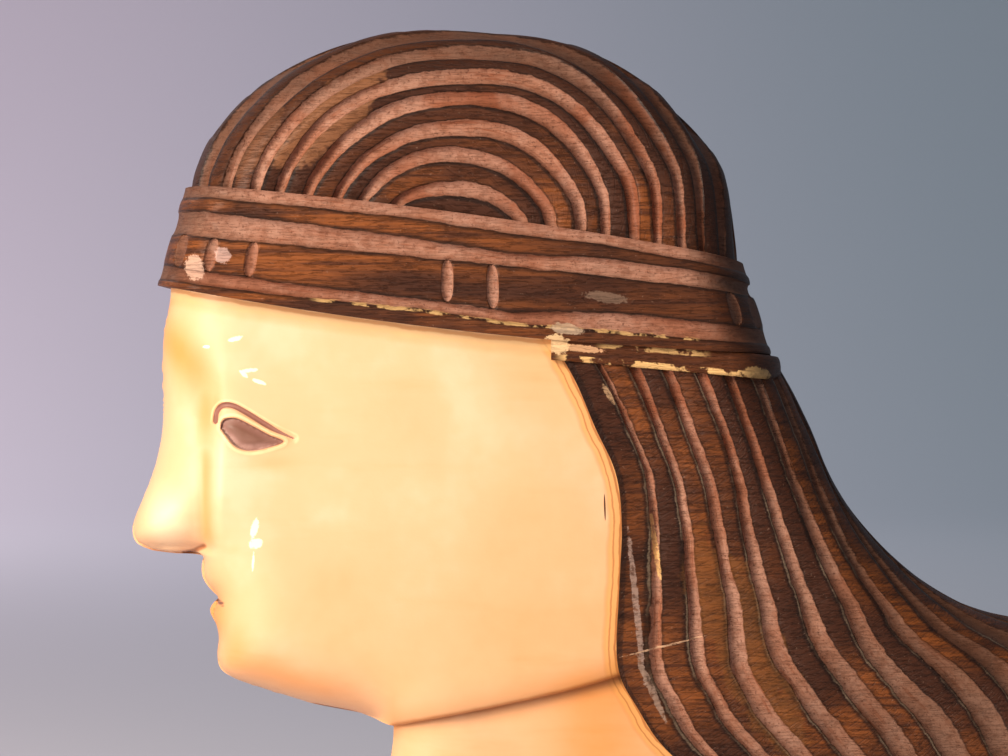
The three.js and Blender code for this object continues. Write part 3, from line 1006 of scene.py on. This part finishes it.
@dataclass(frozen=True)
class StainedWood:
    """Dark stained and varnished wood, with the pale wood showing in the gouge cuts."""

    ridge: str = "#3A1C0D"
    # The darkest ridge colour, used for grain strokes and for painted shade beside the cuts
    ridge_dark_and_shade: str = "#170A05"
    worn: str = "#7E441C"
    groove: str = "#94654F"
    groove_warm: str = "#7A4026"
    # A painted highlight along one edge of each cut
    rim: str = "#6C5A48"
    cream: str = "#DDB073"
    roughness: float = 0.5
    # Ridges rubbed pale: the patch, its colour and its strength
    rubbed: tuple[tuple[Spot, str, float], ...] = (
        ((-43.0, 65.0, 17.0, 7.0, 46), "#855637", 0.7), ((-62.0, 58.0, 12.0, 3.0, 55), "#7A4E32", 0.4),
        ((60.0, -66.0, 30.0, 9.0, -66), "#70451F", 0.5))
    # Flakes and scratches on the locks beside the cheek
    lock_flakes: tuple[tuple[Spot, str], ...] = (
        ((33.0, -57.0, 19.0, 0.8, -84), "#94796C"), ((37.8, -42.0, 8.5, 0.7, -82), "#DDB073"),
        ((36.5, -77.0, 9.0, 0.9, -66), "#8E7464"), ((40.0, -66.8, 10.0, 0.25, 14), "#C09878"),
        ((26.0, -4.0, 3.0, 0.7, -60), "#A88462"))
    # Lines of the face's cream on the band: place across, half width, start, end and strength
    strayed: tuple[tuple[float, ...], ...] = (
        (0.885, 0.012, -45.0, 46.0, 0.6), (1.935, 0.02, 26.0, 48.0, 0.6), (2.08, 0.035, 16.0, 62.0, 0.95))
    # Flaked patches on the band
    band_flakes: tuple[tuple[Spot, str], ...] = (
        ((15.5, 12.2, 4.0, 1.4, -8), "#B59A80"), ((18.5, 7.4, 6.5, 0.9, -6), "#D8A67C"),
        ((13.2, 8.4, 3.2, 2.4, -20), "#E0BC8C"), ((-77.0, 27.5, 2.6, 3.2, 10), "#C09A84"),
        ((-69.8, 30.5, 2.0, 2.2, 20), "#B8968A"), ((25.5, 20.0, 5.5, 1.3, -8), "#6E5646"),
        ((63.5, 1.2, 3.6, 1.5, -10), "#B8925E"))

    def base(self, name: str) -> tuple[Graph, Signal, Signal]:
        """Start a varnished wood, with its coordinates across and along the carving."""
        graph = Graph(name, {"Coat Weight": 0.05, "Coat Roughness": 0.28, "Specular IOR Level": 0.16})
        across, along, _ = graph.split(graph.add("ShaderNodeUVMap", {"uv_map": "carving"}, {}))
        return graph, across, along

    def finish(self, graph: Graph, cuts: Cuts, flakes: Flakes) -> bpy.types.Material:
        """Colour ridges and grooves.

        Args:
            graph: the material.
            cuts: what the gouge left where.
            flakes: marks over the wood, each with its colour.

        Returns:
            The material.
        """
        grain = graph.noise((22.0, 22.0, 620.0), 4.0, 0.65)
        cloud = graph.noise(60.0, 4.0, 0.65)
        mottle = graph.noise(430.0, 4.0, 0.7)
        speck = graph.noise(1500.0, 2.0, 0.6)
        strokes = graph.noise((260.0, 260.0, 2400.0), 3.0, 0.7).step(0.5, 0.68)
        # Darker towards the outline: partly stain gathered there, partly painted shade where the rounded edge
        # turns away from the light.
        outline = graph.attribute("to_rim") + (cloud - 0.5) * 14.0
        gathered_and_shade = outline.step(19.0, 2.0, 0.0, 0.75)
        worn = graph.blend(grain.step(0.42, 0.66), self.worn, "#4C2611")
        dark = graph.blend(cuts.wear * cloud.step(0.25, 0.55), self.ridge, worn).lay(
            (cuts.hatch.step(0.5, 0.7, 0.0, 0.4), self.ridge_dark_and_shade),
            (strokes * 0.4, self.ridge_dark_and_shade),
            # Painted shade beside the cuts
            (cuts.shade, self.ridge_dark_and_shade),
            (speck.step(0.66, 0.76, 0.0, 0.35), "#8E705E"),
            (gathered_and_shade * 0.5, "#2A160C"))
        pale = graph.blend(cuts.warm, self.groove, self.groove_warm).lay(
            (grain.step(0.5, 0.75, 0.0, 0.4), "#713C28"),
            (cloud.step(0.6, 0.4, 0.0, 0.6), "#A47C69"),
            (speck.step(0.58, 0.7, 0.0, 0.75), "#572F20"),
            (mottle.step(0.47, 0.62, 0.0, 0.5), "#744530"),
            # Painted shade: the pale cuts darken towards the right, away from the light.
            (graph.x.step(40.0, 125.0, 0.0, 0.62), "#4A3122"),
            (gathered_and_shade, "#3E2416"))
        colour = graph.blend(cuts.light, dark, pale)
        # A painted highlight along one edge of each cut
        if cuts.rim is not None:
            colour = colour.lay((cuts.rim * cloud.step(0.6, 0.4, 0.0, 0.75), self.rim))
        strokes_across = cuts.hatch.step(0.45, 0.7) * cuts.light.step(1.0, 0.0, 0.0, 0.3)
        bump = (grain - strokes) * 0.5 - strokes_across
        return graph.finish(colour.lay(*flakes), cuts.light * 0.2 + self.roughness, bump)

    def locks(self, share: float, name: str) -> bpy.types.Material:
        """Colour the locks by their lock coordinate, with grooves that are a share of a lock to each side."""
        graph, line, along = self.base(name)
        lock = line.math("ROUND")
        signed = line - lock
        near = abs(signed) + (graph.noise(380.0, 3.0, 0.65) - 0.5) * 0.12
        past_first = line.step(0.45, 0.55)
        light = near.step(share + 0.015, share - 0.02) * past_first
        left = signed.step(0.0, -0.05)
        # On one side of each cut, a painted highlight along its edge
        rim = near.step(share + 0.07, share + 0.045) * near.step(share, share + 0.03) * left * past_first
        # Painted shade on the ridge beyond that line on the same side, and close beside both edges of every
        # cut
        one_side_shade = near.step(share + 0.16, share + 0.07) * left * 0.75
        shade = one_side_shade.most(near.step(share + 0.08, share) * 0.6)
        wear = graph.noise(1.6, 2.0, 0.5, graph.join(line.math("FLOOR") * 7.31, along)).step(0.42, 0.62)
        wear = wear * (1.0 - graph.z.step(44.0, 52.0) * 0.6)
        stained = graph.noise(2.2, 2.0, 0.5, graph.join(lock * 5.17, along)).step(0.46, 0.72, 0.0, 0.85)
        crown_core = graph.patch((-14.0, 46.0, 34.0, 15.0, 0), graph.noise(60.0)) * 0.7
        nape = graph.x.step(12.0, 22.0) * graph.z.step(-48.0, -8.0) * 0.8
        warm = stained.most(crown_core, nape, graph.streaks(line, along, 13.0, 5.0))
        hatch = graph.noise(1.0, 2.0, 0.6, graph.join(line * 2.5, along * 150.0 + line * 9.0))
        hatch = hatch * graph.z.step(26.0, 16.0, 0.9, 1.0)
        chips, soft = graph.noise(520.0, 4.0, 0.75), graph.noise(90.0, 4.0, 0.7)
        broken = graph.noise(700.0, 3.0, 0.7).step(0.36, 0.5, 0.25, 0.8)
        ridges = 1.0 - light
        flakes = [(graph.patch(spot, soft) * ridges * hatch.step(0.62, 0.42, amount * 0.6, amount), tint)
                  for spot, tint, amount in self.rubbed]
        flakes += [(graph.patch(spot, chips) * broken, tint) for spot, tint in self.lock_flakes]
        cuts = Cuts(light, shade, wear, warm, hatch, rim * graph.z.step(26.0, 16.0))
        return self.finish(graph, cuts, flakes)

    def band(self, band: HeadBand, name: str) -> bpy.types.Material:
        """Colour the band by its place across it."""
        graph, row, along = self.base(name)
        across = row + (graph.noise(300.0, 3.0, 0.65) - 0.5) * 0.03
        light, shade = [], []
        for middle, half in (line.value for line in BandLine if line.name.endswith("GROOVE")):
            off = abs(across - middle)
            light.append(off.step(half + 0.008, half - 0.004))
            # Painted shade beside both edges of each groove
            shade.append(off.step(half + 0.05, half + 0.005, 0.0, 0.8))
        for tick in band.ticks:
            u = (along - tick * band.length / 100) * (200 / band.tick_width)
            v = abs((row - band.tick_row) * (2 * band.width / band.tick_length))
            light.append((u * u + v.math("POWER", 3.0)).step(1.05, 0.85, 0.0, 0.9))
        # Worn patches, fewer towards the right, so the band is darker towards the right.
        wear = graph.noise((12.0, 12.0, 60.0)).step(0.3, 0.52) * graph.x.step(30.0, -20.0, 0.3, 1.0)
        foot = abs(across - BandLine.FOOT_GROOVE.value[0]).step(0.09, 0.05, 0.0, 0.45)
        warm = graph.noise(45.0).step(0.5, 0.75, 0.0, 0.6).most(foot, graph.streaks(row, along, 55.0, 4.0))
        hatch = graph.noise((40.0, 40.0, 1900.0), 3.0, 0.65)
        broken = graph.noise(230.0, 3.0, 0.7).step(0.44, 0.53)
        flakes = []
        for middle, half, start, end, amount in self.strayed:
            line = abs(across - middle).step(half + 0.008, half)
            ends = graph.x.step(start - 4.0, start) * graph.x.step(end + 4.0, end)
            flakes.append((line * ends * broken * amount, self.cream))
        chips = graph.noise(1000.0, 5.0, 0.75)
        flakes += [(graph.patch(spot, chips) * 0.75, tint) for spot, tint in self.band_flakes]
        cuts = Cuts(light[0].most(*light[1:]), shade[0].most(*shade[1:]), wear, warm, hatch)
        return self.finish(graph, cuts, flakes)


@dataclass(frozen=True)
class AntiquePaint:
    """Cream paint under a rubbed orange glaze, satin, with painted shade and a painted highlight worked into
    the glaze.
    """

    cream: str = "#DDAD83"
    # The glaze's orange, also laid as painted shade
    pale: str = "#E6C4A4"
    glaze_and_shade: str = "#D68C4C"
    bare: str = "#E8C896"
    mauve: str = "#80584C"
    mauve_dark: str = "#6A4330"
    roughness: float = 0.48
    # Glaze gathered beside a line: its distance, where, half width, softness, colour and strength
    stripes: tuple[tuple[str, float, float, float, str, float], ...] = (
        ("to_hair", 1.3, 1.3, 0.9, "#D8974E", 0.65), ("to_hair", 0.3, 0.15, 0.3, "#96501F", 0.7),
        ("to_hair", 1.9, 0.05, 0.28, "#9A5220", 0.6), ("to_hair", 3.2, 0.05, 0.7, "#C07A3C", 0.28),
        ("to_band", 1.6, 0.8, 1.2, "#DDB578", 0.6), ("to_band", 3.6, 0.1, 1.8, "#CE8E4C", 0.3),
        ("to_band", 0.7, 0.3, 0.5, "#B8723A", 0.6), ("to_jaw", 0.0, 0.2, 1.3, "#B4672E", 0.6),
        ("to_jaw", 0.0, 2.0, 4.5, "#CE8844", 0.25))
    # White touches above and below the eye
    touches: tuple[Spot, ...] = (
        (-67.2, 9.8, 1.7, 0.6, 12), (-74.6, 7.8, 0.9, 0.4, 0), (-63.8, 1.9, 2.2, 0.5, 5),
        (-65.0, 0.9, 1.4, 0.5, -40), (-61.4, -0.9, 2.0, 0.5, -22), (-62.4, -37.5, 2.6, 0.9, 75),
        (-62.0, -41.5, 2.0, 1.2, 10), (-62.8, -46.0, 2.6, 0.3, 85))
    # The short dark crack in the paint beside the hair
    crack: Spot = (25.2, -32.3, 3.4, 0.22, 92)

    def mixed(self, name: str) -> bpy.types.Material:
        """Paint the face and neck."""
        graph = Graph(name, {"Coat Weight": 0.04, "Coat Roughness": 0.35, "Specular IOR Level": 0.3})
        glaze_and_shade, eye, lid = (graph.attribute(key) for key in ("glaze_and_shade", "in_eye", "to_lid"))
        cloud = graph.noise(24.0, 4.0, 0.6)
        streak = graph.noise((12.0, 12.0, 75.0), 4.0, 0.6)
        fine = graph.noise(420.0, 3.0, 0.6)
        # The glaze layer is glaze in the hollows together with painted shade, mottled by cloud and streaks.
        soft = glaze_and_shade.plus(cloud.step(0.45, 0.75, 0.0, 0.25)).plus(streak.step(0.52, 0.78, 0.0, 0.3))
        colour = graph.blend(cloud.step(0.5, 0.3, 0.0, 0.5), self.cream, self.pale)
        # Where the layer is below zero, on the nose, a pale painted highlight
        colour = colour.lay((soft, self.glaze_and_shade), (glaze_and_shade.step(0.0, -0.6, 0.0, 0.8), "#F0D8B2"))
        wander = (graph.noise(130.0) - 0.5) * 1.6
        beside = {key: graph.attribute(key) + wander for key in ("to_hair", "to_band", "to_jaw")}
        for key, middle, half, soften, tint, amount in self.stripes:
            colour = colour.lay((abs(beside[key] - middle).step(half + soften, half) * amount, tint))
        iris = graph.blend((graph.x * 0.3 + graph.z).step(-36.2, -32.8), "#A27C70", self.mauve).lay(
            (eye.step(0.9, 2.2, 0.0, 0.7), self.mauve_dark),
            (fine.step(0.4, 0.65, 0.0, 0.4), "#7A5446"))
        lid_half = graph.x.step(-60.0, -52.5, 0.68, 0.25)
        ragged = graph.noise(900.0, 4.0, 0.7)
        colour = colour.lay(
            (abs(eye + 0.75).step(0.5, 0.2, 0.0, 0.6), self.bare),
            (eye.step(-0.15, 0.1), iris),
            ((lid - lid_half).step(0.12, -0.12), "#86584A"),
            (abs(lid - 1.15).step(0.45, 0.1, 0.0, 0.5) * eye.step(-2.5, -3.2), self.bare),
            (graph.attribute("to_mouth").step(0.9, 0.3, 0.0, 0.9), "#643528"),
            (graph.attribute("to_nostril").step(1.0, 0.25, 0.0, 0.8), "#8A4A20"),
            *((graph.patch(spot, ragged), "#F4E6C4") for spot in self.touches),
            (graph.patch(self.crack), "#4C2814"))
        return graph.finish(colour, self.roughness, streak * 0.6 + fine * 0.2)


@dataclass(frozen=True)
class SawnWood:
    """Bare wood on the flat back and the flat underside, darkened by age."""

    pale: str = "#8D6A4A"
    dark: str = "#6B4A32"
    roughness: float = 0.72

    def make(self, name: str) -> bpy.types.Material:
        """Make the sawn finish."""
        graph = Graph(name)
        grain = graph.noise((14.0, 160.0, 320.0), 4.0, 0.6)
        saw_marks = graph.noise((700.0, 6.0, 6.0), 1.0, 0.5)
        colour = graph.blend(grain.step(0.35, 0.7), self.pale, self.dark)
        return graph.finish(colour, self.roughness, grain + saw_marks * 0.5, 0.25)


@dataclass
class Carving:
    """The whole carving: one piece of wood, carved, stained and painted."""

    relief: Relief = field(default_factory=Relief)
    features: Features = field(default_factory=Features)
    name: str = "mermaid_head_carving"
    sharp: float = 42.0
    merge_gap: float = 0.02

    def blocks(self) -> list[bpy.types.Object]:
        """Carve every region as a block that overlaps its neighbours."""
        relief = self.relief
        stain = StainedWood()
        locks = Locks(relief)
        hair = stain.locks(locks.groove_share, "stained_varnished_wood_locks")
        band = stain.band(HeadBand(relief), "stained_varnished_wood_band")
        paint = AntiquePaint().mixed("cream_paint_orange_glaze")
        sheets = ((locks.crown(), "crown", hair), (locks.fall(), "fall", hair),
                  (HeadBand(relief).carve(), "band", band), (LowerBead(relief).carve(), "bead", band),
                  (Face(relief, self.features).carve(), "face", paint), (Neck(relief).carve(), "neck", paint))
        return [sheet.block(name, material) for sheet, name, material in sheets]

    def saw(self, name: str, low: tuple[float, float, float], high: tuple[float, float, float],
            material: bpy.types.Material) -> bpy.types.Object:
        """Make a box between two corners that saws the wood flat, and leaves its finish there."""
        bm = bmesh.new()
        bmesh.ops.create_cube(bm, size=1.0)
        size = Vector(high) - Vector(low)
        bmesh.ops.scale(bm, vec=size * MM, verts=bm.verts)
        bmesh.ops.translate(bm, vec=(Vector(low) + size / 2) * MM, verts=bm.verts)
        return make_object(bm, name, material)

    def combine(self, body: bpy.types.Object, tool: bpy.types.Object, operation: str) -> None:
        """Join another block to the body, or cut it away."""
        step = body.modifiers.new("combine", "BOOLEAN")
        step.operation = operation
        step.solver = "MANIFOLD"
        step.object = tool
        step.material_mode = "TRANSFER"
        with bpy.context.temp_override(object=body, active_object=body):
            bpy.ops.object.modifier_apply(modifier=step.name)
        bpy.data.objects.remove(tool)

    def build(self) -> bpy.types.Object:
        """Carve the piece and trim it flat behind and below."""
        body, *others = self.blocks()
        body.name = self.name
        bpy.context.view_layer.objects.active = body
        for other in others:
            self.combine(body, other, "UNION")
            LOG.info("joined, %d faces", len(body.data.polygons))
        sawn = SawnWood().make("sawn_bare_wood")
        far = 400.0
        back = self.saw("back_cut", (-far, 0, -far), (far, 50, far), sawn)
        under = self.saw("under_cut", (-far, -far, -far), (far, far, self.relief.base), sawn)
        self.combine(body, back, "DIFFERENCE")
        self.combine(body, under, "DIFFERENCE")
        self.tidy(body)
        self.paint(body)
        return body

    def tidy(self, body: bpy.types.Object) -> None:
        """Close tiny gaps, and keep only sharp cuts unsmoothed."""
        bm = bmesh.new()
        bm.from_mesh(body.data)
        bmesh.ops.remove_doubles(bm, verts=bm.verts, dist=self.merge_gap * MM)
        bmesh.ops.dissolve_degenerate(bm, edges=bm.edges, dist=self.merge_gap / 2 * MM)
        low, high = cad_box
        for vert in bm.verts:
            vert.co = Vector([min(max(value, a), b) for value, a, b in zip(vert.co, low, high)])
        bmesh.ops.recalc_face_normals(bm, faces=bm.faces)
        bm.to_mesh(body.data)
        bm.free()
        body.data.shade_smooth()
        body.data.set_sharp_from_angle(angle=math.radians(self.sharp))

    def paint(self, body: bpy.types.Object) -> None:
        """Store how far each place lies from the lines that the paint follows."""
        mesh = body.data
        flat = np.empty(len(mesh.vertices) * 3, dtype=np.float32)
        mesh.vertices.foreach_get("co", flat)
        points = (flat.reshape(-1, 3)[:, (0, 2)] * 1000).astype(float)
        x, z = points.T
        relief, marks = self.relief, self.features
        band = HeadBand(relief)
        along = np.clip((x + 88) / 156, 0, 1)
        foot = band.place(np.ones_like(along), along, np.zeros_like(along))[:, 1]
        inward = relief.inward(points)
        # Glaze gathered in the nose crease, the eye socket, under the brow, round the lips and the eye, under
        # the chin, on the neck and along the outline. These are where shade falls, so the layer is painted
        # shade as well as glaze.
        crease = hump(x, -75.0, 2.2) * ease(-z, 13, 22) * ease(z, -44.5, -40)
        socket = hump(x, -75.0, 3.2) * hump(z, -9.0, 9.5)
        brow = hump(x + 0.6 * (z - 4), -80.0, 6.5) * hump(z, 6.0, 11.0)
        lips = hump(x, -74.0, 4.5) * hump(z, -61.0, 9.0)
        chin = hump(inward, 6.0, 4.5) * ease(-z, 58, 68) * ease(-x, 32, 46)
        below = hump(x, -59.0, 7.0) * hump(z, -20.5, 2.6)
        corner = hump(x, -72.5, 2.0) * hump(z, -7.0, 4.5)
        lid = np.maximum(0.35 * hump(distance_to(points, marks.eye), 0, 2.6), 0.4 * below + 0.6 * corner)
        neck = 0.6 * hump(x, 24, 12.0) * ease(-z, 70, 80) + 0.3 * ease(-z, 92, 112)
        rim = np.exp(-inward / 3.0) * np.maximum(0.25 * ease(-z, 50, 60), 0.45 * ease(z, -16, 4))
        gathered_and_shade = (0.75 * crease, 0.75 * socket, 0.95 * brow, 0.7 * lips, 0.5 * chin, lid, neck, rim)
        # A painted highlight on the lower nose takes the layer below zero there.
        glaze_and_shade = np.max(gathered_and_shade, axis=0) - 0.52 * hump(x, -85.5, 6.0) * hump(z, -37.0, 9.0)
        # Painted shade: the layer deepens from the cheek down to the jaw, and towards the right, away from
        # the light.
        glaze_and_shade = glaze_and_shade + 0.18 * ease(-z, 25, 65) * (1 - ease(-z, 72, 90)) + 0.22 * ease(x, -30, 20)
        lines = {"to_hair": relief.hairline.points[::6], "to_jaw": relief.jaw.points[::8],
                 "to_lid": marks.lid.points, "to_mouth": marks.mouth, "to_nostril": marks.under_nose}
        layers = {key: distance_to(points, line) for key, line in lines.items()}
        layers |= {"glaze_and_shade": glaze_and_shade, "to_rim": inward, "to_band": foot - z, "in_eye": marks.in_eye(points)}
        for key, values in layers.items():
            layer = mesh.attributes.new(key, "FLOAT", "POINT")
            layer.data.foreach_set("value", values.astype(np.float32))


@dataclass(frozen=True)
class Lamp:
    """One soft lamp: its place in metres, its panel's width, its watts and colour, and what it looks at."""

    name: str
    spot: tuple[float, float, float]
    size: float
    power: float
    tint: str
    aim: tuple[float, float, float] = (0.02, -0.03, -0.01)

    def hang(self) -> None:
        """Hang the lamp in the studio."""
        lamp = bpy.data.lights.new(self.name, "AREA")
        lamp.energy, lamp.size, lamp.color = self.power, self.size, linear(self.tint)[:3]
        holder = bpy.data.objects.new(self.name, lamp)
        holder.location = self.spot
        holder.rotation_euler = (Vector(self.aim) - Vector(self.spot)).to_track_quat("-Z", "Y").to_euler()
        bpy.context.collection.objects.link(holder)


@dataclass
class Studio:
    """A pale floor and backdrop with light painted across them, soft light and the camera."""

    floor: float
    floor_size: float = 5.0
    sweep_start: float = 1.7
    sweep_radius: float = 2.0
    camera_distance: float = 0.746
    lens: float = 100.0
    lamps: tuple[Lamp, ...] = (
        Lamp("key", (-0.53, -0.74, 0.36), 0.36, 11.4, "#FFF0DC"),
        Lamp("fill", (0.6, -1.2, 0.3), 1.0, 1.2, "#EEF1FF"),
        Lamp("low_fill", (-0.6, -0.55, 0.02), 0.24, 4.8, "#FFF4E6"),
        Lamp("backdrop_light", (-1.2, 1.25, 1.0), 1.2, 20.5, "#FFFAF8", (-0.45, 2.25, -0.02)))

    def backdrop(self) -> None:
        """Lay a floor that sweeps up into a backdrop far behind."""
        bm = bmesh.new()
        bmesh.ops.create_grid(bm, x_segments=8, y_segments=60, size=self.floor_size)
        for vert in bm.verts:
            run = vert.co.y - self.sweep_start
            turn = min(max(run / self.sweep_radius, 0.0), math.pi / 2)
            rest = max(run - self.sweep_radius * math.pi / 2, 0.0)
            vert.co.y = self.sweep_start + min(run, 0.0) + self.sweep_radius * math.sin(turn)
            vert.co.z = self.floor + self.sweep_radius * (1 - math.cos(turn)) + rest
        graph = Graph("matt_pale_grey_paper")
        # Painted light: the paper is paler and lilac on the left, where the light comes from, and darker
        # blue-grey on the right.
        colour = graph.blend(graph.x.step(-900.0, 700.0), "#D8CCDC", "#AAB8C4")
        sheet = make_object(bm, "floor", graph.finish(colour, 0.9))
        sheet.data.shade_smooth()

    def set_up(self) -> None:
        """Light the studio and place the camera."""
        self.backdrop()
        for lamp in self.lamps:
            lamp.hang()
        world = bpy.data.worlds.new("studio")
        world.use_nodes = True
        sky = world.node_tree.nodes["Background"]
        sky.inputs["Color"].default_value = linear("#D6D8E2")
        sky.inputs["Strength"].default_value = 0.33
        bpy.context.scene.world = world
        bpy.context.scene.view_settings.view_transform = "Standard"
        lens = bpy.data.cameras.new("camera")
        lens.lens, lens.sensor_width = self.lens, 36.0
        lens.clip_start, lens.clip_end = 0.01, 50.0
        holder = bpy.data.objects.new("camera", lens)
        holder.location = (0.0, -self.camera_distance, 0.0)
        holder.rotation_euler = (math.pi / 2, 0.0, 0.0)
        bpy.context.collection.objects.link(holder)
        bpy.context.scene.camera = holder


def main() -> None:
    """Build the carving, light it and log how many faces it has."""
    logging.basicConfig(level=logging.INFO, format="%(name)s: %(message)s")
    carving = Carving()
    piece = carving.build()
    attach(piece, "root")
    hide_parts(NODE)
    LOG.info("%s: %d faces", piece.name, len(piece.data.polygons))
    Studio(floor=carving.relief.base * MM).set_up()


if __name__ == "__main__":
    main()
